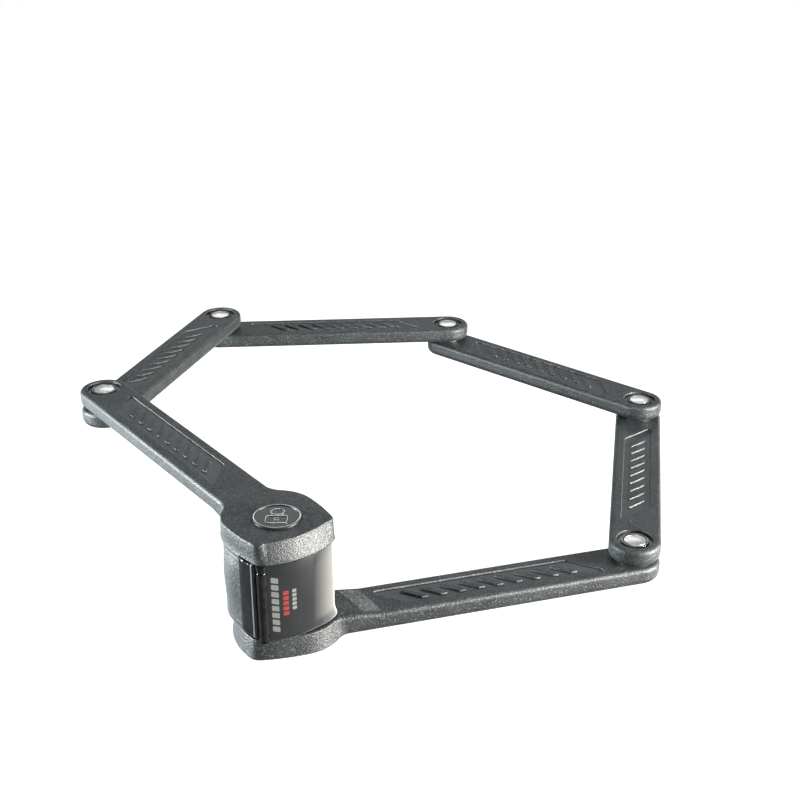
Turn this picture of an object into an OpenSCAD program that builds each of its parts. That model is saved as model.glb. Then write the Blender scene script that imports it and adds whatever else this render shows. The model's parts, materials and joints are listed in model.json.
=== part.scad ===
// Folding bike lock: six flat links joined by five rivets, closed by a lock body.
// The origin is on the lock body's pivot axis, at the underside of the lowest link.
// Link 1 is on top and every following link lies one pitch lower, down to link 6.

/* [Links] */
// Pivot distance of the two end links, which carry the heads
end_link_length = 161; // [150:1:175]
// Pivot distance of the four middle links
mid_link_length = 132; // [124:1:136]
// Width of a link
link_width = 23.3; // [22:0.1:25]
// Thickness of a link with its cover
link_thickness = 7.9; // [7.4:0.1:8.1]
// Height from one link to the next
link_pitch = 9.28; // [9.2:0.01:9.6]
// Chamfer around the faces of a link
link_chamfer = 1.6; // [0.8:0.1:1.8]

/* [Loop] */
// Direction of link 1, from the lock body
link_1_angle = 126.4; // [120:0.1:132]
// Direction of link 2
link_2_angle = 71.7; // [66:0.1:76]
// Direction of link 3
link_3_angle = 3.5; // [0:0.1:8]
// Direction of link 4
link_4_angle = -41.5; // [-46:0.1:-38]

/* [Steel cores] */
// Width of the steel core inside a link
core_width = 18.3; // [17:0.1:19]
// Thickness of the steel core
core_thickness = 5; // [4.5:0.1:5.4]

/* [Label pockets] */
// Half width of the sunk label field on each link
pocket_half_width = 6.6; // [5:0.1:7]
// Depth of the label field
pocket_depth = 0.6; // [0.3:0.1:0.8]
// Number of raised ribs in a label field
rib_count = 9; // [4:1:10]

/* [Rivets] */
// Radius of a rivet's shank
rivet_radius = 4; // [3.5:0.1:4.3]
// Radius of a rivet's domed head
rivet_head_radius = 5; // [4.8:0.1:5.2]
// Radius of the recess around a rivet
recess_radius = 8.2; // [7.8:0.1:8.6]

/* [Heads] */
// Half width of the heads above and below the lock body
head_half_width = 20.5; // [20:0.1:21]
// Thickness of a head
head_thickness = 9; // [8.8:0.1:9.1]
// Radius of the round badge on the top head
badge_radius = 10.1; // [9.6:0.1:10.6]

/* [Lock body] */
// Half width of the lock body
body_half_width = 19.5; // [19:0.1:20]
// Thickness of the side shell
shell_wall = 2; // [1.6:0.1:2.4]
// Thickness of the top and bottom plates
plate_thickness = 2.5; // [2:0.1:3]
// Gap between the lock body and each head
head_gap = 0.35; // [0.25:0.05:0.4]

/* [Locking parts] */
// Radius of the locking bolt
bolt_radius = 7.5; // [7:0.1:7.7]
// Height of the key cylinder's axis
cylinder_height = 23.8; // [23.5:0.1:24.2]
// Radius of the key cylinder's body
cylinder_radius = 7.5; // [7:0.1:7.6]
// Radius of the plug that the key turns
plug_radius = 4.8; // [4.6:0.1:5]
// Distance of the drive pin from the plug's axis
drive_offset = 4.5; // [4.2:0.1:4.6]
// Number of discs in the plug
disc_count = 6; // [4:1:6]

/* [Hidden] */
$fn = 96;

cover_color = "#3a3f42";
panel_color = "#33383a";
gloss_color = "#0c0d0e";
core_color = "#8b8f92";
steel_color = "#c9ccce";
brass_color = "#b9975a";
zinc_color = "#9a9ea1";
rubber_color = "#1b1c1d";

seat_gap = 0.02;      // radial gap of a fixed fit
run_gap = 0.06;       // radial gap of a running fit
slip_gap = 0.1;       // gap between stacked pieces that slide on each other
cover_gap = 0.05;     // gap between a cover and its steel core
through = 1;          // how far a cut reaches past the face it opens
far = 80;             // reaches past the lock body in every direction

// Pivots of the loop. The fifth closes it: it is one middle link from pivot 4
// and one end link from the lock body.
function polar(r, a) = [r * cos(a), r * sin(a)];
pivot_0 = [0, 0];
pivot_1 = polar(end_link_length, link_1_angle);
pivot_2 = pivot_1 + polar(mid_link_length, link_2_angle);
pivot_3 = pivot_2 + polar(mid_link_length, link_3_angle);
pivot_4 = pivot_3 + polar(mid_link_length, link_4_angle);
span_4 = norm(pivot_4);
closing_angle = acos((mid_link_length ^ 2 + span_4 ^ 2 - end_link_length ^ 2)
    / (2 * mid_link_length * span_4));
pivot_5 = pivot_4 + polar(mid_link_length, atan2(-pivot_4[1], -pivot_4[0]) + closing_angle);
pivots = [pivot_0, pivot_1, pivot_2, pivot_3, pivot_4, pivot_5];

link_count = 6;
function link_z(k) = (link_count - k) * link_pitch;
core_margin = (link_thickness - core_thickness) / 2;
top_z = link_z(1) + link_thickness;

// Heights of the lock body between the two heads
bottom_head_top = head_thickness;
top_head_bottom = top_z - head_thickness;
body_bottom = bottom_head_top + head_gap;
body_top = top_head_bottom - head_gap;
core_bottom = body_bottom + plate_thickness;
core_top = body_top - plate_thickness;

// Head and body outlines: a rounded triangle made of wide arcs
base_arc_radius = 37;
side_arc_radius = 90;
side_arc_centre = 3;
shoulder_centre = 6;
corner_radius = 23.3;
apex_face = 16.7;     // flat side of the lock body, where the folded links nest

// Locking bolt, its tail and its drive
bolt_top = body_top - 0.25;
bolt_bottom = cylinder_height + cylinder_radius + 0.7;
tail_near = 2;
tail_far = 4.6;
tail_half_width = 5.6;
drive_pin_radius = 1.5;
drive_slot_gap = 0.2;
throw_angle = 45;     // the plug turns this far either side of level
drive_rise = drive_offset * sin(throw_angle);
bolt_throw = 2 * drive_rise;

// Key cylinder, along the body's base-to-apex line
cylinder_front = -16.3;
cylinder_back = -0.3;
plug_bore = 3.9;
plug_face = 1.6;      // thickness of the plug's front wall
disc_radius = 3.8;
disc_thickness = 1.6;
disc_pitch = 2.2;
disc_front = cylinder_front + plug_face;

// Hinge of the keyway cover
hinge_point = [-14.7, 17];
barrel_radius = 2;
hinge_pin_radius = 0.8;
cover_wall = 2.2;
cover_edge = -13.2;   // the side shell stops here and the cover begins
cover_end_gap = 0.25;
cover_skin = 1;       // the outer skin of the cover reaches over the edges of both plates
cover_room = 0.15;    // gap behind the cover
cover_inner_radius = base_arc_radius - (head_half_width - body_half_width) - cover_wall;
barrel_room = 0.35;   // gap around the hinge barrel

// ---------- shared shapes ----------

// Puts children in the frame of link k: x runs from its inner pivot to its outer one
module link_frame(k) {
    from = k == 6 ? pivots[0] : pivots[k - 1];
    to = k == 6 ? pivots[5] : pivots[k];
    along = to - from;
    translate([from[0], from[1], link_z(k)])
        rotate([0, 0, atan2(along[1], along[0])])
            children();
}

function link_length(k) = (k == 1 || k == 6) ? end_link_length : mid_link_length;

// Everything with a smaller x than the limit, and everything with a larger one
module before(x) {
    translate([x - far, -far / 2, -far / 2])
        cube([far, far, 2 * far]);
}

module beyond(x) {
    translate([x, -far / 2, -far / 2])
        cube([far, far, 2 * far]);
}

// Half section of a plate with chamfered edges, for a round end of radius r
function edge_profile(r, height, low, high) = [
    [0, 0], [r - low, 0], [r, low], [r, height - high], [r - high, height], [0, height]
];

module chamfered_disc(r, height, low, high) {
    rotate_extrude($fn = 128)
        polygon(edge_profile(r, height, low, high));
}

// Flat bar with round ends and chamfered edges
module chamfered_bar(length, width, height, low, high) {
    half = width / 2;
    chamfered_disc(half, height, low, high);
    translate([length, 0, 0])
        chamfered_disc(half, height, low, high);
    rotate([90, 0, 90])
        linear_extrude(length)
            polygon([
                [-half + low, 0], [half - low, 0], [half, low], [half, height - high],
                [half - high, height], [-half + high, height], [-half, height - high], [-half, low]
            ]);
}

module plain_bar(length, width, height) {
    half = width / 2;
    cylinder(r = half, h = height);
    translate([length, 0, 0])
        cylinder(r = half, h = height);
    translate([0, -half, 0])
        cube([length, width, height]);
}

// Wide disc whose edge makes one long side of the rounded triangle
module side_disc(side, shrink, height, low, high) {
    translate([side_arc_centre, side * (head_half_width - side_arc_radius), 0])
        chamfered_disc(side_arc_radius - shrink, height, low, high);
}

// Rounded triangle: two sides, a base and round shoulders towards the link
module rounded_triangle(half_width, height, low, high) {
    shrink = head_half_width - half_width;
    base_r = base_arc_radius - shrink;
    shoulder_r = head_half_width - shrink;
    intersection() {
        translate([base_arc_radius - head_half_width, 0, 0])
            chamfered_disc(base_r, height, low, high);
        side_disc(1, shrink, height, low, high);
        side_disc(-1, shrink, height, low, high);
        chamfered_disc(corner_radius - shrink, height, low, high);
        union() {
            translate([shoulder_centre, 0, 0])
                chamfered_disc(shoulder_r, height, low, high);
            before(shoulder_centre);
        }
    }
}

// Outline of the lock body: the rounded triangle cut flat towards the links
module body_block(inset, bottom, top) {
    translate([0, 0, bottom])
        intersection() {
            rounded_triangle(body_half_width - inset, top - bottom, 0, 0);
            before(apex_face - inset);
        }
}

// Turns children into the frame of the lock body: x points along link 1
module body_frame() {
    rotate([0, 0, link_1_angle])
        children();
}

// A cylinder along the body's x axis, at the height of the key cylinder
module lying_cylinder(r, from, to) {
    translate([from, 0, cylinder_height])
        rotate([0, 90, 0])
            cylinder(r = r, h = to - from);
}

// ---------- links ----------

end_pocket_start = 47;    // the field starts here on the end links
mid_pocket_start = 23;    // and here on the middle ones
pocket_end = 23;          // distance of the field's end from the outer pivot
pocket_slope = 1.12;      // its ends lean by this much for each unit of width
rib_width = 3.4;
rib_half = 3.6;
rib_margin = 11;          // distance of the first and last rib from the field's ends

// Slanted field for a label, from its start to its end along the link
module slanted_field(start, end, half_width, height) {
    slant = pocket_slope * half_width;
    linear_extrude(height)
        polygon([
            [start + slant, -half_width], [end + slant, -half_width],
            [end - slant, half_width], [start - slant, half_width]
        ]);
}

module label_pocket(k) {
    start = k == 1 || k == 6 ? end_pocket_start : mid_pocket_start;
    end = link_length(k) - pocket_end;
    rib_step = (end - start - 2 * rib_margin) / (rib_count - 1);
    rib_sunk = 0.2;       // the ribs end this much below the link's face
    difference() {
        translate([0, 0, link_thickness - pocket_depth])
            slanted_field(start, end, pocket_half_width, pocket_depth + through);
        for (i = [0 : rib_count - 1])
            translate([start + rib_margin + i * rib_step, 0, link_thickness - pocket_depth - through])
                slanted_field(-rib_width / 2, rib_width / 2, rib_half, pocket_depth + through - rib_sunk);
    }
}

// Head at the lock body's end of links 1 and 6, on its own thickness
module head_plate(k) {
    z = k == 1 ? link_thickness - head_thickness : 0;
    translate([0, 0, z])
        rounded_triangle(head_half_width, head_thickness, 1.2, 1.6);
}

core_head_radius = 15.5;

module core_body(k, grow) {
    length = link_length(k);
    height = core_thickness + 2 * grow;
    translate([0, 0, core_margin - grow]) {
        plain_bar(length, core_width + 2 * grow, height);
        if (k == 1 || k == 6)
            cylinder(r = core_head_radius + grow, h = height);
    }
}

module link_cover(k) {
    length = link_length(k);
    color(cover_color)
        link_frame(k)
            difference() {
                union() {
                    chamfered_bar(length, link_width, link_thickness, 0.8, link_chamfer);
                    if (k == 1 || k == 6)
                        head_plate(k);
                }
                core_body(k, cover_gap);
                translate([length, 0, -through])
                    cylinder(r = recess_radius, h = link_thickness + 2 * through);
                if (k == 1) {
                    translate([0, 0, link_thickness - head_thickness - through])
                        cylinder(r = socket_radius + 0.3, h = link_thickness / 2 + through);
                    translate([0, 0, badge_seat])
                        cylinder(r = badge_radius + cover_gap, h = link_thickness);
                } else if (k == 6) {
                    translate([0, 0, -through])
                        cylinder(r = pivot_cap_radius + cover_gap, h = head_thickness + 2 * through);
                } else {
                    translate([0, 0, -through])
                        cylinder(r = recess_radius, h = link_thickness + 2 * through);
                }
                label_pocket(k);
            }
}

module link_core(k) {
    length = link_length(k);
    color(core_color)
        link_frame(k)
            difference() {
                core_body(k, 0);
                // this link turns on the rivet at its outer end, and holds the one at its inner end
                outer_gap = k == 6 ? seat_gap : run_gap;
                translate([length, 0, 0])
                    cylinder(r = rivet_radius + outer_gap, h = link_thickness);
                if (k == 1) {
                    cylinder(r = socket_radius + seat_gap, h = link_thickness);
                } else if (k == 6) {
                    cylinder(r = pivot_radius + run_gap, h = link_thickness);
                    translate([0, 0, -through])
                        cylinder(r = pivot_head_radius + run_gap, h = pivot_head_top + slip_gap + through);
                } else {
                    cylinder(r = rivet_radius + seat_gap, h = link_thickness);
                }
            }
}

// ---------- rivets between links k and k + 1 ----------

module at_pivot(k) {
    translate([pivots[k][0], pivots[k][1], 0])
        children();
}

rivet_foot_height = 1.1;
rivet_head_height = 1.3;
rivet_dome = 0.45;
rivet_foot_radius = rivet_head_radius + 0.6;
ring_height = 0.9;
ring_radius = 6.35;
spacer_radius = recess_radius - 0.5;

function upper_core_top(k) = link_z(k) + core_margin + core_thickness;
function upper_core_bottom(k) = link_z(k) + core_margin;
function lower_core_top(k) = link_z(k + 1) + core_margin + core_thickness;
function lower_core_bottom(k) = link_z(k + 1) + core_margin;

// The shank runs through both cores. The head is low and domed, the foot is flat.
module rivet(k) {
    foot_z = lower_core_bottom(k) - rivet_foot_height;
    head_z = upper_core_top(k) + slip_gap;
    rim_z = head_z + rivet_head_height - rivet_dome;
    dome_sphere = (rivet_head_radius ^ 2 + rivet_dome ^ 2) / (2 * rivet_dome);
    color(steel_color)
        at_pivot(k) {
            translate([0, 0, foot_z])
                cylinder(r = rivet_foot_radius, h = rivet_foot_height);
            translate([0, 0, foot_z])
                cylinder(r = rivet_radius, h = rim_z - foot_z);
            translate([0, 0, head_z])
                cylinder(r = rivet_head_radius, h = rim_z - head_z);
            intersection() {
                translate([0, 0, rim_z + rivet_dome - dome_sphere])
                    sphere(r = dome_sphere, $fn = 160);
                translate([0, 0, rim_z - rivet_dome / 9])
                    cylinder(r = rivet_head_radius, h = 2 * rivet_dome);
            }
        }
}

module rivet_ring(k) {
    color(steel_color)
        at_pivot(k)
            translate([0, 0, upper_core_top(k) + slip_gap / 2])
                difference() {
                    chamfered_disc(ring_radius, ring_height, 0, 0.25);
                    translate([0, 0, -through])
                        cylinder(r = rivet_head_radius + 0.15, h = ring_height + 2 * through);
                }
}

module spacer(k) {
    bottom = lower_core_top(k) + slip_gap / 2;
    top = upper_core_bottom(k) - slip_gap;
    color(core_color)
        at_pivot(k)
            translate([0, 0, bottom])
                difference() {
                    cylinder(r = spacer_radius, h = top - bottom);
                    translate([0, 0, -through])
                        cylinder(r = rivet_radius + seat_gap, h = top - bottom + 2 * through);
                }
}

// ---------- lock body ----------

pivot_radius = 5;
pivot_head_radius = 7.2;
pivot_head_bottom = 1;
pivot_head_top = 2.6;
pivot_top = 15.2;
pivot_cap_radius = 8.6;
sleeve_wall = 1.1;
sleeve_radius = bolt_radius + run_gap + sleeve_wall;
sleeve_bottom = bolt_bottom + 1;

// What lies inside an arc of the given radius, parallel to the body's front
module behind_front(r, bottom, top) {
    translate([base_arc_radius - head_half_width, 0, bottom])
        cylinder(r = r, h = top - bottom, $fn = 128);
}

// Ear of a plate, which holds one end of the hinge pin
module hinge_ear(bottom, top) {
    translate([hinge_point[0], hinge_point[1], bottom])
        cylinder(r = barrel_radius, h = top - bottom);
}

plate_front_radius = cover_inner_radius + cover_wall - cover_skin - cover_room;

// Room for the hinge barrel in the parts beside it
module barrel_space() {
    translate([hinge_point[0], hinge_point[1], core_bottom - through])
        cylinder(r = barrel_radius + barrel_room, h = core_top - core_bottom + 2 * through);
}

module side_shell() {
    color(cover_color)
        body_frame()
            difference() {
                body_block(0, core_bottom, core_top);
                body_block(shell_wall, core_bottom - through, core_top + through);
                before(cover_edge);
                barrel_space();
            }
}

bolt_room = 0.3;      // gap under the bolt and around its lower end
tail_room = 0.4;      // gap around the bolt's tail

// Cast block that fills the shell and holds the bolt and the key cylinder
module housing_core() {
    color(zinc_color)
        body_frame()
            difference() {
                intersection() {
                    body_block(shell_wall + cover_gap, core_bottom, core_top);
                    beyond(cylinder_front);
                    behind_front(cover_inner_radius - cover_room, core_bottom, core_top);
                }
                barrel_space();
                // bolt and sleeve
                translate([0, 0, sleeve_bottom])
                    cylinder(r = sleeve_radius + seat_gap, h = far);
                translate([0, 0, bolt_bottom - bolt_room])
                    cylinder(r = bolt_radius + bolt_room, h = sleeve_bottom - bolt_bottom + 2 * bolt_room);
                // room for the bolt's tail and the drive cam
                translate([cylinder_back, -tail_half_width - tail_room, pivot_top + tail_room])
                    cube([tail_far + 2 * tail_room - cylinder_back, 2 * (tail_half_width + tail_room),
                        bolt_bottom - pivot_top]);
                lying_cylinder(cylinder_radius, cylinder_back - slip_gap, tail_near - slip_gap);
                // key cylinder, and its retaining pin from below
                lying_cylinder(cylinder_radius + seat_gap, cylinder_front - through, cylinder_back);
                cylinder_pin_shape(seat_gap, pin_room);
                // pivot rivet
                cylinder(r = pivot_radius + seat_gap, h = pivot_top + cover_gap);
                screw_places()
                    cylinder(r = screw_radius + seat_gap, h = 2 * (screw_length + screw_room), center = true);
            }
}

screw_radius = 1.4;
screw_length = 9;
screw_head_radius = 2.7;
screw_head_height = 1.4;
screw_rim = 0.1;      // straight edge of the screw's head
screw_room = 6;       // the drilling goes this much deeper than the screw
screw_place = [11, 12.2];
cross_length = 4.4;
cross_width = 0.8;

module screw_places() {
    for (side = [-1, 1])
        translate([screw_place[0], side * screw_place[1], body_top])
            children();
}

// Countersunk screw with its face at zero height. The hole for it is open upwards.
module screw_body(gap) {
    translate([0, 0, -screw_length])
        cylinder(r = screw_radius + gap, h = screw_length);
    translate([0, 0, -screw_head_height - screw_rim])
        cylinder(r1 = screw_radius + gap, r2 = screw_head_radius + gap, h = screw_head_height);
    translate([0, 0, -screw_rim])
        cylinder(r = screw_head_radius + gap, h = screw_rim + gap);
}

module top_plate() {
    color(cover_color)
        body_frame()
            difference() {
                union() {
                    intersection() {
                        body_block(0, core_top + cover_gap, body_top);
                        behind_front(plate_front_radius, core_top, body_top);
                    }
                    hinge_ear(core_top + cover_gap, body_top);
                }
                cylinder(r = bolt_radius + 0.25, h = far);
                screw_places()
                    screw_body(seat_gap);
                hinge_pin_hole(core_top, body_top - pin_cover);
            }
}

module top_plate_screws() {
    color(steel_color)
        body_frame()
            screw_places()
                translate([0, 0, -seat_gap])
                    difference() {
                        screw_body(0);
                        cube([cross_width, cross_length, 2 * cross_width], center = true);
                        cube([cross_length, cross_width, 2 * cross_width], center = true);
                    }
}

foot_rim = 0.8;
pin_cover = 0.8;      // wall left over each end of the hinge pin

// The foot stands a little wider than the body, like the head below it
module bottom_plate() {
    color(cover_color)
        body_frame()
            difference() {
                union() {
                    intersection() {
                        translate([0, 0, body_bottom])
                            rounded_triangle(body_half_width + foot_rim, plate_thickness - cover_gap,
                                0.4, foot_rim);
                        before(apex_face);
                        behind_front(plate_front_radius, body_bottom, core_bottom);
                    }
                    hinge_ear(body_bottom, core_bottom - cover_gap);
                }
                cylinder(r = pivot_radius + slip_gap, h = far);
                hinge_pin_hole(body_bottom + pin_cover, core_bottom);
            }
}

module pivot_rivet() {
    color(steel_color) {
        translate([0, 0, pivot_head_bottom])
            cylinder(r = pivot_head_radius, h = pivot_head_top - pivot_head_bottom);
        translate([0, 0, pivot_head_bottom])
            cylinder(r = pivot_radius, h = pivot_top - pivot_head_bottom);
    }
}

module pivot_spacer() {
    bottom = core_margin + core_thickness + slip_gap;
    color(core_color)
        translate([0, 0, bottom])
            difference() {
                cylinder(r = pivot_cap_radius - 0.3, h = body_bottom - slip_gap / 2 - bottom);
                translate([0, 0, -through])
                    cylinder(r = pivot_radius + seat_gap, h = far);
            }
}

module pivot_cap() {
    color(rubber_color)
        chamfered_disc(pivot_cap_radius, 0.85, 0.3, 0);
}

module bolt_sleeve() {
    color(brass_color)
        translate([0, 0, sleeve_bottom])
            difference() {
                cylinder(r = sleeve_radius, h = core_top - sleeve_bottom);
                translate([0, 0, -through])
                    cylinder(r = bolt_radius + run_gap, h = far);
            }
}

// ---------- key cylinder ----------

pin_place = [-9, -6.1];
pin_radius = 1;
pin_top = cylinder_height - 3.4;
pin_room = 0.5;       // its hole goes this much higher

module cylinder_pin_shape(gap, extra) {
    translate([pin_place[0], pin_place[1], core_bottom])
        cylinder(r = pin_radius + gap, h = pin_top - core_bottom + extra);
}

module cylinder_body() {
    color(brass_color)
        body_frame()
            difference() {
                lying_cylinder(cylinder_radius, cylinder_front, cylinder_back - 0.1);
                lying_cylinder(plug_radius + run_gap, cylinder_front - through, cylinder_back + through);
                cylinder_pin_shape(seat_gap, pin_room);
                // seat of the seal ring, around the plug's face
                difference() {
                    lying_cylinder(seal_radius + seal_wire + cover_gap, cylinder_front - through,
                        cylinder_front + 2 * seal_wire + slip_gap);
                    lying_cylinder(seal_radius - seal_wire - cover_gap, cylinder_front - 2 * through,
                        cylinder_front + 3 * seal_wire);
                }
            }
}

module cylinder_pin() {
    color(steel_color)
        body_frame()
            translate([0, 0, cover_gap])
                cylinder_pin_shape(0, 0);
}

seal_radius = 6.2;
seal_wire = 0.5;

module cylinder_seal() {
    color(rubber_color)
        body_frame()
            translate([cylinder_front + seal_wire + seat_gap, 0, cylinder_height])
                rotate([0, 90, 0])
                    rotate_extrude()
                        translate([seal_radius, 0])
                            circle(r = seal_wire, $fn = 32);
}

// The keyway lies level when the plug stands half way through its turn
module in_plug() {
    translate([0, 0, cylinder_height])
        rotate([-throw_angle, 0, 0])
            translate([0, 0, -cylinder_height])
                children();
}

key_slot_width = 1.9;
key_slot_height = 6;

module key_slot(from, to) {
    translate([from, -key_slot_height / 2, cylinder_height - key_slot_width / 2])
        cube([to - from, key_slot_height, key_slot_width]);
}

sidebar_width = 1.3;
sidebar_inner = 3.1;
sidebar_length = disc_count * disc_pitch;

// The sidebar, and with a gap its slot. Both reach outwards past the plug.
module sidebar_shape(gap) {
    translate([disc_front - gap, -sidebar_width / 2 - gap, cylinder_height + sidebar_inner - gap])
        cube([sidebar_length + 2 * gap, sidebar_width + 2 * gap, plug_radius]);
}

tang_size = 4;
tang_hole = tang_size + 0.1;
cam_front = cylinder_back + 0.1;
cam_thickness = 1.6;
cam_rim = 0.5;

module plug() {
    color(steel_color)
        body_frame()
            in_plug()
                difference() {
                    union() {
                        lying_cylinder(plug_radius, cylinder_front, cylinder_back);
                        translate([cylinder_back - through / 2, -tang_size / 2,
                            cylinder_height - tang_size / 2])
                            cube([cam_thickness + through / 2, tang_size, tang_size]);
                    }
                    lying_cylinder(plug_bore, disc_front - slip_gap, disc_front + sidebar_length + slip_gap);
                    key_slot(cylinder_front - through, disc_front);
                    sidebar_shape(slip_gap);
                    lying_cylinder(cam_screw_radius + seat_gap,
                        cylinder_back - cam_screw_length - slip_gap, far);
                }
}

module disc_stack(offset, thickness, count) {
    for (i = [0 : count - 1])
        difference() {
            lying_cylinder(disc_radius, disc_front + i * disc_pitch + offset,
                disc_front + i * disc_pitch + offset + thickness);
            key_slot(cylinder_front, cylinder_back);
            sidebar_shape(slip_gap);
        }
}

module plug_discs() {
    color(brass_color)
        body_frame()
            in_plug()
                disc_stack(cover_gap, disc_thickness, disc_count);
}

module disc_spacers() {
    color(steel_color)
        body_frame()
            in_plug()
                disc_stack(disc_thickness + slip_gap, disc_pitch - disc_thickness - slip_gap, disc_count - 1);
}

module sidebar() {
    color(core_color)
        body_frame()
            in_plug()
                intersection() {
                    sidebar_shape(0);
                    lying_cylinder(plug_radius - seat_gap, cylinder_front, cylinder_back);
                }
}

cam_screw_radius = 1;
cam_screw_length = 1.5;
cam_screw_head = [1.9, 0.4];

// Disc on the plug's tail with the pin that lifts the bolt
module drive_cam() {
    color(steel_color)
        body_frame()
            in_plug()
                difference() {
                    union() {
                        lying_cylinder(drive_offset + drive_pin_radius + cam_rim, cam_front,
                            cam_front + cam_thickness);
                        translate([0, drive_offset, 0])
                            lying_cylinder(drive_pin_radius, cam_front + cam_thickness / 2, tail_far + 0.4);
                    }
                    translate([cam_front - through, -tang_hole / 2, cylinder_height - tang_hole / 2])
                        cube([cam_thickness + 2 * through, tang_hole, tang_hole]);
                }
}

module cam_screw() {
    screw_face = cylinder_back + cam_thickness + slip_gap + seat_gap;
    color(steel_color)
        body_frame()
            in_plug()
                union() {
                    lying_cylinder(cam_screw_radius, cylinder_back - cam_screw_length, screw_face + slip_gap);
                    lying_cylinder(cam_screw_head[0], screw_face, screw_face + cam_screw_head[1]);
                }
}

tail_bottom = pivot_top + 1;

// Round bolt with a flat tail. The drive pin runs in the tail's open slot.
module locking_bolt() {
    slot_half = drive_pin_radius + drive_slot_gap;
    color(steel_color)
        body_frame()
            difference() {
                union() {
                    translate([0, 0, bolt_bottom])
                        chamfered_disc(bolt_radius, bolt_top - bolt_bottom, 0, 0.8);
                    translate([tail_near, -tail_half_width, tail_bottom])
                        cube([tail_far - tail_near, 2 * tail_half_width,
                            bolt_bottom + through - tail_bottom]);
                }
                translate([tail_near - through, drive_offset * cos(throw_angle) - slot_half,
                    cylinder_height - drive_rise - slot_half])
                    cube([tail_far - tail_near + 2 * through, 2 * tail_half_width, 2 * slot_half]);
            }
}

// ---------- keyway cover ----------

module hinge_pin_hole(from, to) {
    translate([hinge_point[0], hinge_point[1], from])
        cylinder(r = hinge_pin_radius + seat_gap, h = to - from);
}

module cover_hinge_pin() {
    color(steel_color)
        body_frame()
            translate([hinge_point[0], hinge_point[1], body_bottom + pin_cover + cover_gap])
                cylinder(r = hinge_pin_radius, h = body_top - body_bottom - 2 * (pin_cover + cover_gap));
}

barrel_bottom = core_bottom + 0.15;
barrel_top = core_top - 0.1;

module cover_hinge_barrel() {
    color(gloss_color)
        body_frame()
            translate([hinge_point[0], hinge_point[1], barrel_bottom])
                difference() {
                    cylinder(r = barrel_radius, h = barrel_top - barrel_bottom);
                    translate([0, 0, -through])
                        cylinder(r = hinge_pin_radius + run_gap, h = far);
                }
}

cover_bottom = body_bottom + 0.25;
cover_top = body_top - 0.25;

// Part of the body's front that lies outside an arc of the given radius
module front_layer(r, bottom, top) {
    difference() {
        body_block(0, bottom, top);
        behind_front(r, bottom - through, top + through);
    }
}

// Curved door over the keyway, from the barrel to the far corner
module keyway_cover() {
    color(panel_color)
        body_frame()
            difference() {
                union() {
                    front_layer(cover_inner_radius, barrel_bottom, barrel_top);
                    front_layer(cover_inner_radius + cover_wall - cover_skin, cover_bottom, cover_top);
                }
                beyond(cover_edge - cover_end_gap);
                translate([hinge_point[0], hinge_point[1], 0])
                    cylinder(r = barrel_radius + run_gap, h = far);
                rotate([0, 0, 90])
                    beyond(hinge_point[1]);
            }
}

// ---------- top head ----------

socket_radius = 8.9;
socket_wall = 1.1;
socket_floor = 0.7;
socket_top = core_margin + core_thickness;
badge_seat = 6.7;
badge_proud = 1;      // the badge stands this much above the head
badge_rim = 1.1;
badge_sink = 0.4;     // depth of the badge's middle

// Hardened cup that the bolt rises into
module bolt_socket() {
    bottom = link_thickness - head_thickness + cover_gap;
    color(steel_color)
        link_frame(1)
            difference() {
                translate([0, 0, bottom])
                    cylinder(r = socket_radius, h = socket_top - bottom);
                translate([0, 0, bottom - through])
                    cylinder(r = socket_radius - socket_wall,
                        h = socket_top - bottom + through - socket_floor);
            }
}

module head_badge() {
    height = link_thickness + badge_proud - badge_seat - cover_gap;
    color(panel_color)
        link_frame(1)
            translate([0, 0, badge_seat + cover_gap])
                difference() {
                    chamfered_disc(badge_radius, height, 0, 0.4);
                    translate([0, 0, height - badge_sink])
                        cylinder(r = badge_radius - badge_rim, h = badge_sink + through);
                }
}

side_shell();
housing_core();
top_plate();
bottom_plate();
top_plate_screws();
pivot_rivet();
pivot_spacer();
bolt_sleeve();
cylinder_body();
cylinder_pin();
cylinder_seal();
cover_hinge_pin();
keyway_cover();
cover_hinge_barrel();
plug();
plug_discs();
disc_spacers();
sidebar();
drive_cam();
cam_screw();
locking_bolt();
link_cover(6);  // link_6_cover
link_core(6);  // link_6_core
pivot_cap();
rivet(5);  // rivet_5
rivet_ring(5);  // rivet_ring_5
spacer(5);  // spacer_5
link_cover(5);  // link_5_cover
link_core(5);  // link_5_core
rivet(4);  // rivet_4
rivet_ring(4);  // rivet_ring_4
spacer(4);  // spacer_4
link_cover(4);  // link_4_cover
link_core(4);  // link_4_core
rivet(3);  // rivet_3
rivet_ring(3);  // rivet_ring_3
spacer(3);  // spacer_3
link_cover(3);  // link_3_cover
link_core(3);  // link_3_core
rivet(2);  // rivet_2
rivet_ring(2);  // rivet_ring_2
spacer(2);  // spacer_2
link_cover(2);  // link_2_cover
link_core(2);  // link_2_core
rivet(1);  // rivet_1
rivet_ring(1);  // rivet_ring_1
spacer(1);  // spacer_1
link_cover(1);  // link_1_cover
link_core(1);  // link_1_core
bolt_socket();
head_badge();
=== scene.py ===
import json
import math

import bmesh
import bpy
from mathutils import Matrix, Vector
from mathutils.geometry import tessellate_polygon


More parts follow.
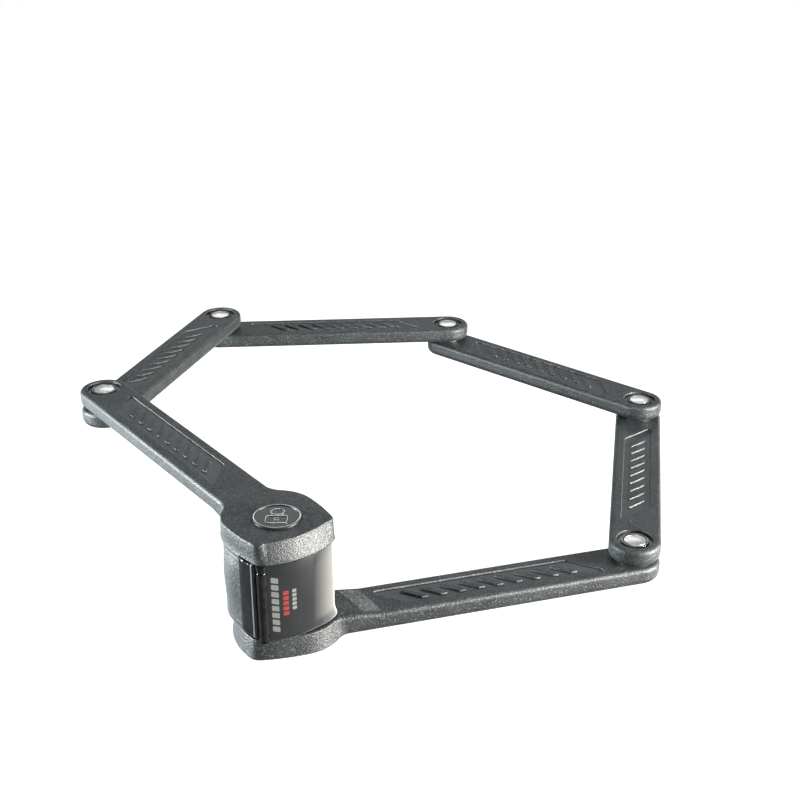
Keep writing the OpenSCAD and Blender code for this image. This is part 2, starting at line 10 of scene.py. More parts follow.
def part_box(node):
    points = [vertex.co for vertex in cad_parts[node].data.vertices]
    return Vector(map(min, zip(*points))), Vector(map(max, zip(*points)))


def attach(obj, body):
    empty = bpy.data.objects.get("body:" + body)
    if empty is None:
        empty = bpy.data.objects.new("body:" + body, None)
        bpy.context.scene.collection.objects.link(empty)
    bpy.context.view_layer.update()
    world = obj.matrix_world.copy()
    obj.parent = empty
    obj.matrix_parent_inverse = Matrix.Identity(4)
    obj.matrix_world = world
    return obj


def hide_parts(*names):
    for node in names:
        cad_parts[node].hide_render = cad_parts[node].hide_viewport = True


# A folding bike lock: six covered links around an open loop, joined by five rivets and
# closed by a lock body between two heads. Lengths below are in millimetres.

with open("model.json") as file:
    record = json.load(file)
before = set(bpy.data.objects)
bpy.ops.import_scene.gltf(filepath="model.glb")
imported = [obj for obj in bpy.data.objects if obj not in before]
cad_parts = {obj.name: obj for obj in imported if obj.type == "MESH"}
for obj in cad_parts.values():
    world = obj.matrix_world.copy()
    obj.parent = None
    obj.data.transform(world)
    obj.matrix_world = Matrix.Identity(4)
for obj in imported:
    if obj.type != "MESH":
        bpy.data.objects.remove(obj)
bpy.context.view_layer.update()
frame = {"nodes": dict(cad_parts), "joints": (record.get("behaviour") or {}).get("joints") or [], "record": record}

MM = 0.001
JOINTS = {joint["name"]: joint for joint in frame["joints"]}


# ---------- places, from the frame ----------

def pivot(joint_name):
    x, y, _ = JOINTS[joint_name]["pos_m"]
    return (x / MM, y / MM)


LINK_COUNT = 6
PIVOTS = [pivot(f"link_{LINK_COUNT}_pivot")] + [pivot(f"link_{k}_pivot") for k in range(1, LINK_COUNT)]


def low_z(node):
    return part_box(node)[0].z / MM


def high_z(node):
    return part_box(node)[1].z / MM


PITCH = low_z("link_4_cover") - low_z("link_5_cover")
THICKNESS = high_z("link_5_cover") - low_z("link_5_cover")
HEAD_STEP = high_z(f"link_{LINK_COUNT}_cover") - THICKNESS      # how much thicker a head is


class Place:
    """A flat frame: an origin, a height and a direction of x."""

    def __init__(self, origin, z, angle):
        self.origin = origin
        self.z = z
        self.cos = math.cos(angle)
        self.sin = math.sin(angle)

    def world(self, point):
        x, y, z = point
        return Vector((
            self.origin[0] + x * self.cos - y * self.sin,
            self.origin[1] + x * self.sin + y * self.cos,
            self.z + z,
        )) * MM


def direction(start, end):
    return math.atan2(end[1] - start[1], end[0] - start[0])


def link_ends(k):
    """The inner and the outer pivot of a link. Links 1 and 6 start at the lock body."""
    if k == LINK_COUNT:
        return PIVOTS[0], PIVOTS[-1]
    return PIVOTS[k - 1], PIVOTS[k]


def link_place(k):
    start, end = link_ends(k)
    return Place(start, (LINK_COUNT - k) * PITCH, direction(start, end))


def link_length(k):
    start, end = link_ends(k)
    return math.dist(start, end)


BODY = Place(PIVOTS[0], 0, direction(PIVOTS[0], PIVOTS[1]))


def hinge_point():
    """The axis of the keyway cover's hinge, in the body's own place."""
    x, y = pivot("keyway_cover_hinge")
    return (x * BODY.cos + y * BODY.sin, -x * BODY.sin + y * BODY.cos)


HINGE = hinge_point()


# ---------- driving dimensions ----------

HALF_WIDTH = 11.65            # of a link
CORE_HALF = 9.2               # of the steel core's room inside a link
CORE_HEAD = 15.55             # radius of that room in a head
CORE_FLOOR = 1.4              # heights of its floor and its ceiling
CORE_CEILING = 6.5
RECESS = 8.2                  # radius of the recess around a rivet
RIM = 0.3                     # rounding at the mouth of a hole
FINE_RIM = 0.18               # the same where it can be seen

POCKET_DEPTH = 0.75
POCKET_HALF = 6.6             # half width of the pocket
POCKET_END = 23               # from a rivet's centre to the pocket
POCKET_HEAD_END = 47          # from a head's centre to the pocket
RIB_COUNT = 9
RIB_MARGIN = 11               # from the pocket's end to the middle of its first rib
RIB_HALF_WIDTH = 1.9
RIB_HALF_LENGTH = 3.7
LEAN = 1.12                   # slant of the ribs and of the pocket's ends
POCKET_SLOT = 1               # material slots of a link's skin
RAMP_SLOT = 2

HEAD_HALF = 20.5              # half width of a head
BASE_ARC = (HEAD_HALF - 4.0, 37.0)     # centre and radius of the curved base
SIDE_ARC = (3.0, 90.0)                 # the two long sides
SHOULDER = 6.0                         # centre of the round shoulders
SHOULDER_R = SIDE_ARC[1] - math.dist((SIDE_ARC[0], HEAD_HALF - SIDE_ARC[1]), (SHOULDER, 0))
CORNER = 6.0                           # radius of the two front corners
NECK = 8.0                             # fillet between a head and its link
HEAD_END = 19.5                        # where the head's section starts to turn into the link's
LINK_START = 26.5                      # and where that is done
SIDE_STEEPER = 1.4                     # the top head's upper edge stands out at the sides
BASE_SLOPE = 1.6                       # and back at the base
SOCKET_HOLE = 9.2                      # radius of the hole under the top head
FOOT_HOLE = 8.65                       # radius of the holes in the head at the body's foot

BODY_INSET = 1.0              # the lock body stands back from the heads
APEX = 16.7                   # flat side of the body towards the loop
APEX_CORNER = 1.5
SHELL_WALL = 2.0
COVER_WALL = 2.2
COVER_SKIN = 1.0
COVER_EDGE = -13.2            # the cover lies in front of this x
COVER_LAP = 1.15              # the plates are drawn in this much under the cover's skin
BARREL = 2.0                  # radius of the hinge barrel
BELLY = 1.3                   # how far the shell's sides swell at their fullest
TRIM_MIDDLE = -7.0            # x of the black strip on the shell
TRIM_HALF = 5.4
TRIM_PROUD = 1.0
TRIM_PAINTED_HIGHLIGHT = 5                 # the facet that carries the painted highlight line

BADGE = 10.1                  # radius of the badge
BADGE_SEAT = 6.7              # height of the floor under it


# ---------- outlines: lists of (x, y, normal x, normal y) ----------

def arc(centre, radius, start, end, steps, hollow=False):
    """Points from one angle to another in degrees. A hollow arc has its solid side outside."""
    side = -1 if hollow else 1
    points = []
    for i in range(steps + 1):
        a = math.radians(start + (end - start) * i / steps)
        nx, ny = math.cos(a), math.sin(a)
        points.append((centre[0] + radius * nx, centre[1] + radius * ny, side * nx, side * ny))
    return points


def circle(centre, radius, steps=64):
    return arc(centre, radius, 0, 360 - 360 / steps, steps - 1)


def joined(*runs):
    """The runs one after the other, without the points they share."""
    out = []
    for run in runs:
        for p in run:
            if not out or math.dist(p[:2], out[-1][:2]) > 0.001:
                out.append(p)
    if math.dist(out[0][:2], out[-1][:2]) < 0.001:
        out.pop()
    return out


def mirrored(run):
    return [(x, -y, nx, -ny) for x, y, nx, ny in reversed(run)]


def closed_by_mirror(run):
    return joined(run, mirrored(run))


def angle_of(start, end):
    return math.degrees(direction(start, end))


def corner_centre():
    """Centre of a front corner's circle, which touches both the base arc and the side arc."""
    bx, br = BASE_ARC
    sx, sr = SIDE_ARC
    sy = HEAD_HALF - sr
    r1 = br - CORNER
    r2 = sr - CORNER
    gap = math.dist((bx, 0), (sx, sy))
    along = (r1 ** 2 - r2 ** 2 + gap ** 2) / (2 * gap)
    across = math.sqrt(r1 ** 2 - along ** 2)
    ux, uy = (sx - bx) / gap, sy / gap
    return (bx + along * ux + across * uy, along * uy - across * ux)


def shoulder_top():
    """The angle at which the shoulder's arc meets the side's."""
    sx, sr = SIDE_ARC
    return angle_of((sx, HEAD_HALF - sr), (SHOULDER, 0))


def front_run(inset):
    """From the shoulder's end over the side, the corner and half of the base."""
    bx, br = BASE_ARC
    sx, sr = SIDE_ARC
    side_centre = (sx, HEAD_HALF - sr)
    corner = corner_centre()
    to_corner = angle_of(side_centre, corner)
    to_base = angle_of((bx, 0), corner)
    return joined(
        arc(side_centre, sr - inset, shoulder_top(), to_corner, 14),
        arc(corner, CORNER - inset, to_corner, to_base, 10),
        arc((bx, 0), br - inset, to_base, 180, 18),
    )


def straight(y, stops):
    return [(x, y, 0, math.copysign(1, y)) for x in stops]


def bar_end(length):
    return arc((length, 0), HALF_WIDTH, 0, 90, 20)


def link_outline(length, headed, upper_stops=(), lower_stops=()):
    """A bar with round ends, or with a head in place of its inner end."""
    if not headed:
        inner = arc((0, 0), HALF_WIDTH, 90, 180, 20)
        half = joined(bar_end(length), inner)
        return closed_by_mirror(half)
    neck_y = HALF_WIDTH + NECK
    reach = SHOULDER_R + NECK
    neck_x = SHOULDER + math.sqrt(reach ** 2 - neck_y ** 2)
    to_neck = angle_of((SHOULDER, 0), (neck_x, neck_y))
    head = joined(
        arc((neck_x, neck_y), NECK, 270, 180 + to_neck, 10, hollow=True),
        arc((SHOULDER, 0), SHOULDER_R, to_neck, shoulder_top(), 14),
        front_run(0),
    )
    upper = joined(bar_end(length), straight(HALF_WIDTH, upper_stops), head)
    lower = joined(bar_end(length), straight(HALF_WIDTH, lower_stops), head)
    return joined(upper, mirrored(lower))


def body_outline():
    """The lock body's outline, from the middle of its flat side."""
    radius = SHOULDER_R - BODY_INSET
    cx = APEX - APEX_CORNER
    cy = math.sqrt((radius - APEX_CORNER) ** 2 - (cx - SHOULDER) ** 2)
    turn = angle_of((SHOULDER, 0), (cx, cy))
    return closed_by_mirror(joined(
        [(APEX, 0, 1, 0)],
        arc((cx, cy), APEX_CORNER, 0, turn, 6),
        arc((SHOULDER, 0), radius, turn, shoulder_top(), 10),
        front_run(BODY_INSET),
    ))


def polygon(corners, radius, steps=4):
    """A polygon, anticlockwise, with its corners rounded."""
    out = []
    for i, here in enumerate(corners):
        before = corners[i - 1]
        after = corners[(i + 1) % len(corners)]
        a_in = direction(before, here)
        a_out = direction(here, after)
        turn = (a_out - a_in + math.pi) % (2 * math.pi) - math.pi
        back = radius * math.tan(turn / 2)
        cx = here[0] - back * math.cos(a_in) - radius * math.sin(a_in)
        cy = here[1] - back * math.sin(a_in) + radius * math.cos(a_in)
        start = math.degrees(a_in) - 90
        out += arc((cx, cy), radius, start, start + math.degrees(turn), steps)
    return joined(out)


# ---------- closed meshes ----------

class Shape:
    """Vertices and faces of one piece, in millimetres in its own place."""

    def __init__(self, place):
        self.place = place
        self.verts = []
        self.faces = []
        self.smooth = []
        self.material = []
        self.slot = 0

    def loop(self, points):
        first = len(self.verts)
        self.verts += [tuple(p) for p in points]
        return list(range(first, len(self.verts)))

    def face(self, indices, smooth=True):
        self.faces.append(indices)
        self.smooth.append(smooth)
        self.material.append(self.slot)

    def bridge(self, a, b, smooth=True):
        for i in range(len(a)):
            j = (i + 1) % len(a)
            self.face([a[i], a[j], b[j], b[i]], smooth)

    def join(self, loops):
        """Bridges the loops in order. Returns the first and the last."""
        for a, b in zip(loops, loops[1:]):
            self.bridge(a, b)
        return loops[0], loops[-1]

    def fill(self, outer, holes=()):
        """A flat face inside a loop and around its holes."""
        loops = [outer] + list(holes)
        flat = [i for run in loops for i in run]
        shapes = [[Vector((self.verts[i][0], self.verts[i][1], 0)) for i in run] for run in loops]
        for triangle in tessellate_polygon(shapes):
            self.face([flat[i] for i in triangle], smooth=False)

    def cap(self, loop):
        """Closes a small loop of any direction with a fan."""
        count = len(loop)
        middle = [sum(self.verts[i][axis] for i in loop) / count for axis in range(3)]
        tip = self.loop([middle])[0]
        for i in range(count):
            self.face([loop[i], loop[(i + 1) % count], tip], smooth=False)

    def walls(self, outline, section):
        """Loops along an outline, one for each (inset, z) of the section, joined in order."""
        return self.join([
            self.loop([(x - nx * inset, y - ny * inset, z) for x, y, nx, ny in outline])
            for inset, z in section
        ])

    def ring(self, point, section):
        """A loop across the wall at one point of an outline, from a closed section."""
        x, y, nx, ny = point
        return self.loop([(x - nx * inset, y - ny * inset, z) for inset, z in section])

    def ends(self, rings):
        """Closes both ends of a run of rings."""
        self.cap(rings[0])
        self.cap(rings[-1])

    def lathe(self, section, steps=72):
        """Rings around the axis, one for each (radius, z) of the section, joined in order."""
        return self.join([
            self.loop([(x, y, z) for x, y, _, _ in circle((0, 0), radius, steps)])
            for radius, z in section
        ])

    def build(self, name, body, materials, replaces, slot, sharp=32):
        """Makes the piece, on its body and in place of the CAD nodes that it replaces."""
        mesh = bpy.data.meshes.new(name)
        mesh.from_pydata([self.place.world(v) for v in self.verts], [], self.faces)
        mesh.polygons.foreach_set("use_smooth", self.smooth)
        mesh.polygons.foreach_set("material_index", self.material)
        for material in materials:
            mesh.materials.append(material)
        work = bmesh.new()
        work.from_mesh(mesh)
        bmesh.ops.recalc_face_normals(work, faces=work.faces)
        work.to_mesh(mesh)
        work.free()
        mesh.set_sharp_from_angle(angle=math.radians(sharp))
        obj = bpy.data.objects.new(name, mesh)
        bpy.context.scene.collection.objects.link(obj)
        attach(obj, body)
        if replaces:
            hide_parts(*replaces)


def quarter(inset, z, radius, steps):
    """Section of a rounded upper edge, from the face to the side, that starts at this inset."""
    out = []
    for i in range(steps + 1):
        a = math.radians(90 * i / steps)
        out.append((inset - radius * math.sin(a), z - radius + radius * math.cos(a)))
    return out


# ---------- materials ----------

class Nodes:
    """A node material under construction."""

    def __init__(self, name):
        self.material = bpy.data.materials.new(name)
        self.material.use_nodes = True
        self.tree = self.material.node_tree
        self.tree.nodes.clear()
        self.shader = self.add("ShaderNodeBsdfPrincipled")
        output = self.add("ShaderNodeOutputMaterial")
        self.link(self.shader.outputs[0], output.inputs[0])
        self.place = self.add("ShaderNodeTexCoord").outputs["Object"]

    def add(self, kind, **values):
        node = self.tree.nodes.new(kind)
        for key, value in values.items():
            setattr(node, key, value)
        return node

    def link(self, source, target):
        self.tree.links.new(source, target)

    def put(self, **values):
        for key, value in values.items():
            self.shader.inputs[key.replace("_", " ")].default_value = value

    def noise(self, scale, detail=3.0, rough=0.5, squeeze=None):
        node = self.add("ShaderNodeTexNoise")
        node.inputs["Scale"].default_value = scale
        node.inputs["Detail"].default_value = detail
        node.inputs["Roughness"].default_value = rough
        source = self.place
        if squeeze:
            mapping = self.add("ShaderNodeMapping")
            mapping.inputs["Scale"].default_value = squeeze
            self.link(source, mapping.inputs["Vector"])
            source = mapping.outputs[0]
        self.link(source, node.inputs["Vector"])
        return node.outputs["Fac"]

    def cells(self, scale):
        node = self.add("ShaderNodeTexVoronoi")
        node.inputs["Scale"].default_value = scale
        self.link(self.place, node.inputs["Vector"])
        return node.outputs["Distance"]

    def spread(self, source, low, high, from_low=0.35, from_high=0.65):
        node = self.add("ShaderNodeMapRange")
        node.inputs["From Min"].default_value = from_low
        node.inputs["From Max"].default_value = from_high
        node.inputs["To Min"].default_value = low
        node.inputs["To Max"].default_value = high
        self.link(source, node.inputs["Value"])
        return node.outputs[0]

    def mix(self, factor, dark, light):
        node = self.add("ShaderNodeMix", data_type="RGBA")
        self.link(factor, node.inputs["Factor"])
        for value, socket in ((dark, node.inputs["A"]), (light, node.inputs["B"])):
            if isinstance(value, tuple):
                socket.default_value = (*value, 1)
            else:
                self.link(value, socket)
        return node.outputs["Result"]

    def bump(self, height, distance, strength=1.0, below=None):
        node = self.add("ShaderNodeBump")
        node.inputs["Distance"].default_value = distance
        node.inputs["Strength"].default_value = strength
        self.link(height, node.inputs["Height"])
        if below:
            self.link(below, node.inputs["Normal"])
        return node.outputs[0]

    def grazing(self, low, high):
        """0 where the surface faces the eye, up to 1 where it turns away."""
        node = self.add("ShaderNodeLayerWeight")
        return self.spread(node.outputs["Facing"], 0, 1, low, high)

    def color(self, source):
        self.link(source, self.shader.inputs["Base Color"])

    def roughness(self, source):
        self.link(source, self.shader.inputs["Roughness"])

    def normal(self, source):
        self.link(source, self.shader.inputs["Normal"])


def grained_plastic(name, dark, light, rough=(0.4, 0.54), depth=0.00007, speckle=0.8):
    """Moulded cover: fine pebble grain, a sparse bright speckle, a slight cool tint and a painted sheen that
    lightens the colour where the surface turns away from the eye.
    """
    m = Nodes(name)
    cloud = m.noise(90, 4)
    tone = m.mix(m.spread(cloud, 0, 1), dark, light)
    # Painted sheen: the colour turns much lighter where the surface turns away from the eye.
    tone = m.mix(m.grazing(0.6, 1.1), tone, tuple(c * 5 for c in light))
    spark = m.spread(m.noise(1500, 2), 0, speckle, 0.56, 0.7)
    pale = tuple(min(1, 0.06 + c * 3.2) for c in light)
    m.color(m.mix(spark, tone, pale))
    m.roughness(m.spread(m.noise(1100, 2), *rough))
    coarse = m.bump(m.noise(1000, 4, 0.7), depth * 3.2, 1.0)
    m.normal(m.bump(m.cells(1900), depth * 1.6, 0.8, coarse))
    m.put(Specular_IOR_Level=0.55)
    return m.material


def satin_plastic(name, dark, light, painted_sheen=None):
    """Smooth lacquer with a soft sheen. Where given, a painted sheen turns the colour pale where the surface
    curves away from the eye.
    """
    m = Nodes(name)
    tone = m.mix(m.spread(m.noise(60, 3), 0, 1), dark, light)
    if painted_sheen:
        # painted sheen: the colour turns pale at grazing angles
        tone = m.mix(m.grazing(0.34, 1.0), tone, painted_sheen)
    m.color(tone)
    drawn = m.noise(900, 2, 0.5, squeeze=(1, 1, 0.04))
    m.roughness(m.spread(drawn, 0.33, 0.38))
    m.normal(m.bump(m.noise(5000, 2), 0.000012, 0.5, m.bump(drawn, 0.000004, 0.2)))
    m.put(Specular_IOR_Level=0.5)
    return m.material


def gloss_plastic(name):
    """Polished black strip with faint haze and a few fine scuffs."""
    m = Nodes(name)
    m.color(m.mix(m.spread(m.noise(300, 3), 0, 1), (0.004, 0.004, 0.005), (0.01, 0.01, 0.011)))
    m.roughness(m.spread(m.noise(700, 4), 0.12, 0.2))
    m.normal(m.bump(m.noise(2500, 2, 0.5, squeeze=(1, 1, 0.1)), 0.000005, 0.4))
    m.put(Specular_IOR_Level=0.16)
    return m.material


def turned_steel(name, tone, rough=(0.12, 0.24)):
    """Plated or machined steel, slightly uneven in tone and gloss."""
    m = Nodes(name)
    light = tuple(min(1, c * 1.08) for c in tone)
    dark = tuple(c * 0.86 for c in tone)
    m.color(m.mix(m.spread(m.noise(500, 4), 0, 1), dark, light))
    m.roughness(m.spread(m.noise(1800, 3), *rough))
    m.normal(m.bump(m.noise(3600, 3), 0.000008, 0.5))
    m.put(Metallic=1.0)
    return m.material


def hardened_steel(name):
    """Ground and hardened plate: dark, with lengthwise grind marks and oil stains."""
    m = Nodes(name)
    m.color(m.mix(m.spread(m.noise(140, 5), 0, 1), (0.08, 0.082, 0.085), (0.2, 0.205, 0.21)))
    m.roughness(m.spread(m.noise(900, 4), 0.3, 0.5))
    m.normal(m.bump(m.noise(2600, 3, 0.6, squeeze=(1, 0.2, 1)), 0.00002, 0.6))
    m.put(Metallic=0.9)
    return m.material


def brass(name):
    m = Nodes(name)
    m.color(m.mix(m.spread(m.noise(400, 4), 0, 1), (0.5, 0.34, 0.12), (0.72, 0.53, 0.24)))
    m.roughness(m.spread(m.noise(1500, 3), 0.22, 0.38))
    m.normal(m.bump(m.noise(3000, 3), 0.00001, 0.5))
    m.put(Metallic=1.0)
    return m.material


def cast_zinc(name):
    """Die casting as cast: pale, matte and slightly pitted."""
    m = Nodes(name)
    m.color(m.mix(m.spread(m.noise(200, 5), 0, 1), (0.1, 0.104, 0.108), (0.17, 0.175, 0.18)))
    m.roughness(m.spread(m.noise(800, 3), 0.5, 0.68))
    m.normal(m.bump(m.noise(1200, 5, 0.7), 0.00006, 0.6))
    m.put(Metallic=0.7)
    return m.material


def rubber(name):
    m = Nodes(name)
    m.color(m.mix(m.spread(m.noise(500, 3), 0, 1), (0.012, 0.012, 0.012), (0.03, 0.03, 0.03)))
    m.roughness(m.spread(m.noise(1500, 3), 0.7, 0.85))
    m.normal(m.bump(m.noise(2500, 3), 0.00004, 0.6))
    return m.material


def print_ink(name, tone):
    """Screen print: matte, with slightly uneven cover. The grey one also paints a highlight line on the black
    trim.
    """
    m = Nodes(name)
    worn = tuple(c * 0.72 for c in tone)
    m.color(m.mix(m.spread(m.noise(1800, 4), 0, 1, 0.3, 0.6), worn, tone))
    m.roughness(m.spread(m.noise(2400, 2), 0.45, 0.6))
    m.normal(m.bump(m.noise(4000, 2), 0.00001, 0.5))
    return m.material


def floor_paint(name):
    """White sheet that glows softly, but adds little of its glow to the light on the object."""
    m = Nodes(name)
    m.color(m.mix(m.spread(m.noise(6, 3), 0, 1), (0.25, 0.25, 0.25), (0.28, 0.28, 0.28)))
    m.roughness(m.spread(m.noise(40, 3), 0.7, 0.85))
    path = m.add("ShaderNodeLightPath")
    m.link(m.spread(path.outputs["Is Camera Ray"], 0.02, 0.955, 0, 1), m.shader.inputs["Emission Strength"])
    m.put(Specular_IOR_Level=0.1, Emission_Color=(1, 1, 1, 1))
    return m.material


COVER = grained_plastic("cover_plastic", (0.008, 0.0105, 0.0115), (0.017, 0.021, 0.0225))
POCKET = grained_plastic("pocket_plastic", (0.011, 0.012, 0.017), (0.017, 0.0185, 0.025),
                         (0.32, 0.42), 0.00002, 0.05)
# The ramp faces' plastic: a coarser grain, and a colour several times lighter than the cover's, which is painted
# light on the ramp's slope.
COARSE_PAINTED_LIGHT = grained_plastic("coarse_plastic_painted_light", (0.03, 0.036, 0.037), (0.07, 0.08, 0.082),
                         (0.45, 0.6), 0.0001, 1.0)
SHELL = grained_plastic("shell_plastic", (0.014, 0.0175, 0.018), (0.026, 0.031, 0.032))
# The panel carries a painted sheen: its colour turns pale where it curves away from the eye.
PANEL = satin_plastic("panel_lacquer", (0.005, 0.006, 0.0068), (0.007, 0.0084, 0.0094), (0.4, 0.4, 0.38))
BADGE_SKIN = satin_plastic("badge_lacquer", (0.006, 0.007, 0.008), (0.009, 0.0105, 0.0115))
GLOSS = gloss_plastic("gloss_black")
RIVET_STEEL = turned_steel("rivet_steel", (0.8, 0.79, 0.76), (0.3, 0.42))
BRIGHT = turned_steel("bright_steel", (0.7, 0.7, 0.69), (0.16, 0.3))
BRIGHT_LINE = turned_steel("badge_line", (0.42, 0.43, 0.44), (0.24, 0.34))
DARK_STEEL = turned_steel("oiled_steel", (0.13, 0.13, 0.135), (0.14, 0.26))
HARD = hardened_steel("hardened_steel")
BRASS = brass("brass")
ZINC = cast_zinc("zinc")
RUBBER = rubber("rubber")
# The grey ink also paints the highlight line on the black trim.
GREY_INK_AND_PAINTED_HIGHLIGHT = print_ink("grey_ink_and_painted_highlight", (0.12, 0.124, 0.124))
RED_INK = print_ink("red_ink", (0.17, 0.012, 0.008))

SLOT_MATERIALS = {
    "link_cover": COVER,
    "body_shell": SHELL,
    "satin_panel": PANEL,
    "gloss_black": GLOSS,
    "hardened_steel": HARD,
    "bright_steel": BRIGHT,
    "brass": BRASS,
    "zinc": ZINC,
    "rubber": RUBBER,
}


def finish_cad_nodes():
    """Gives every carried-over CAD node the finish of its slot."""
    for subpart in frame["record"]["subparts"]:
        obj = frame["nodes"][subpart["node"]]
        material = SLOT_MATERIALS[subpart["material_slot"]]
        obj.data.materials.clear()
        obj.data.materials.append(material)


# ---------- link skins ----------

# (inset, z) from the top face over the side to the bottom face, for a link and for a head
LINK_SECTION = (
    [(2.35, THICKNESS)]
    + quarter(2.0, THICKNESS, 2.0, 7)
    + [(0, 5.4), (0, 3.1), (0, 2.5), (0.14, 1.8), (0.45, 0.95), (1.0, 0.28), (1.7, 0), (2.0, 0)]
)
HEAD_SECTION = (
    [(2.55, THICKNESS)]
    + quarter(2.2, THICKNESS, 0.6, 7)
    + [(1.5, 6.8), (0.75, 3.6), (0.3, 1.6), (0.1, 0.75), (0.05, 0.45), (0.3, 0.12), (0.75, 0), (1.05, 0)]
)
TOP_RAMP = ((30.0, -0.32), (38.6, -0.267))       # (x on the axis, lean) of the two crease lines
BOTTOM_RAMP = ((28.0, 0.0), (34.0, 0.0))


def smoothstep(x, low, high):
    t = min(1, max(0, (x - low) / (high - low)))
    return t * t * (3 - 2 * t)


def ramp(x, y, lines):
    """0 on the head's side of the first line, 1 beyond the second."""
    near = lines[0][0] + lines[0][1] * y
    far = lines[1][0] + lines[1][1] * y
    return min(1, max(0, (x - near) / (far - near)))


def ramp_stops(lines, side):
    """Where the crease lines meet a straight edge of the flat face, seen from the outer end."""
    y = side * (HALF_WIDTH - LINK_SECTION[0][0])
    return [x + lean * y for x, lean in reversed(lines)]


class LinkSkin:
    """The moulded cover of one link, with its head if it has one."""

    def __init__(self, k):
        self.k = k
        self.length = link_length(k)
        self.headed = k in (1, LINK_COUNT)
        self.ramp = {1: BOTTOM_RAMP, LINK_COUNT: TOP_RAMP}.get(k)
        self.shape = Shape(link_place(k))

    def lift(self, x, y, upper):
        """How far the face stands out beyond the link's thickness."""
        if self.ramp is None or upper != (self.k == LINK_COUNT):
            return 0
        step = HEAD_STEP * (1 - ramp(x, y, self.ramp))
        return step if upper else -step

    def head_shift(self, nx, ny, z):
        """Extra inset of the top head's wall: steep at the sides, sloping at the base."""
        if self.k != 1:
            return 0
        return smoothstep(z, 1, 6.8) * (BASE_SLOPE * min(0, nx) ** 2 - SIDE_STEEPER * ny ** 2)

    def side(self):
        """The outer wall. Returns its loops on the top and on the bottom face."""
        stops = ([], [])
        if self.ramp:
            stops = (ramp_stops(self.ramp, 1), ramp_stops(self.ramp, -1))
        outline = link_outline(self.length, self.headed, *stops)
        loops = []
        for link_point, head_point in zip(LINK_SECTION, HEAD_SECTION):
            points = []
            for x, y, nx, ny in outline:
                head = 1 - smoothstep(x, HEAD_END, LINK_START) if self.headed else 0
                inset = link_point[0] + head * (head_point[0] - link_point[0])
                z = link_point[1] + head * (head_point[1] - link_point[1])
                inset += head * self.head_shift(nx, ny, z)
                px, py = x - nx * inset, y - ny * inset
                upper = smoothstep(z, 2.0, 6.0)
                rise = upper * self.lift(px, py, True) + (1 - upper) * self.lift(px, py, False)
                points.append((px, py, z + rise))
            loops.append(self.shape.loop(points))
        return self.shape.join(loops)

    def hole(self, radius, face_z, depth_z, centre=0.0, rim=RIM):
        """A round hole from a face inwards. Returns its loops at the face and at its depth."""
        into = 1 if depth_z > face_z else -1
        section = [(-rim - 0.2, face_z), (-rim, face_z), (-rim * 0.3, face_z + into * rim * 0.3),
                   (0, face_z + into * rim), (0, face_z + into * (rim + 0.25)), (0, depth_z)]
        return self.shape.walls(circle((centre, 0), radius), section)

    def pocket(self):
        """The sunk field with its ribs. Returns its loop on the top face."""
        start = POCKET_HEAD_END if self.headed else POCKET_END
        end = self.length - POCKET_END
        top = THICKNESS
        floor = top - POCKET_DEPTH
        section = [(-0.5, top), (-0.36, top), (-0.12, top - 0.1), (0.02, top - 0.34),
                   (0.06, floor + 0.1), (0.2, floor + 0.01), (0.4, floor)]
        face_loop, floor_loop = self.shape.walls(slanted(start, end, POCKET_HALF, 1.1), section)
        first, last = start + RIB_MARGIN, end - RIB_MARGIN
        places = [first + (last - first) * i / (RIB_COUNT - 1) for i in range(RIB_COUNT)]
        ribs = [self.rib(x, floor, top) for x in places]
        self.shape.slot = POCKET_SLOT
        self.shape.fill(floor_loop, ribs)
        self.shape.slot = 0
        return face_loop

    def rib(self, x, floor, top):
        """One slanted rib. Returns its loop on the pocket's floor."""
        outline = slanted(x - RIB_HALF_WIDTH, x + RIB_HALF_WIDTH, RIB_HALF_LENGTH, 0.55)
        section = [(-0.15, floor), (-0.04, floor + 0.02), (0, floor + 0.12), (0.04, top - 0.14),
                   (0.12, top - 0.03), (0.24, top), (0.38, top)]
        foot, crest = self.shape.walls(outline, section)
        self.shape.fill(crest)
        return foot

    def core_room(self):
        """Outline of the hollow that holds the steel core."""
        ends = arc((self.length, 0), CORE_HALF, 0, 90, 16)
        if not self.headed:
            return closed_by_mirror(joined(ends, arc((0, 0), CORE_HALF, 90, 180, 16)))
        meet = math.degrees(math.asin(CORE_HALF / CORE_HEAD))
        return closed_by_mirror(joined(ends, arc((0, 0), CORE_HEAD, meet, 180, 24)))

    def face_fill(self, loop, holes, upper):
        """Fills a face. Where it has a ramp, it is split along the crease lines."""
        if self.ramp is None or upper != (self.k == LINK_COUNT):
            self.shape.fill(loop, holes)
            return
        where = {i: ramp(*self.shape.verts[i][:2], self.ramp) for i in loop}
        small = 0.002         # a share of the ramp that still counts as on its crease line
        head = [i for i in loop if where[i] < small]
        slope = [i for i in loop if where[i] > small or self.on_line(i, 0)]
        slope = [i for i in slope if where[i] < 1 - small or self.on_line(i, 1)]
        link = [i for i in loop if where[i] > 1 - small]
        near = [h for h in holes if self.shape.verts[h[0]][0] < TOP_RAMP[0][0]]
        self.shape.fill(head, near)
        # The slope between the crease lines gets the lighter ramp plastic: painted light.
        self.shape.slot = RAMP_SLOT
        self.shape.fill(slope)
        self.shape.slot = 0
        self.shape.fill(link, [h for h in holes if h not in near])

    def on_line(self, index, line):
        x, y, _ = self.shape.verts[index]
        place, lean = self.ramp[line]
        return abs(x - place - lean * y) < 0.01

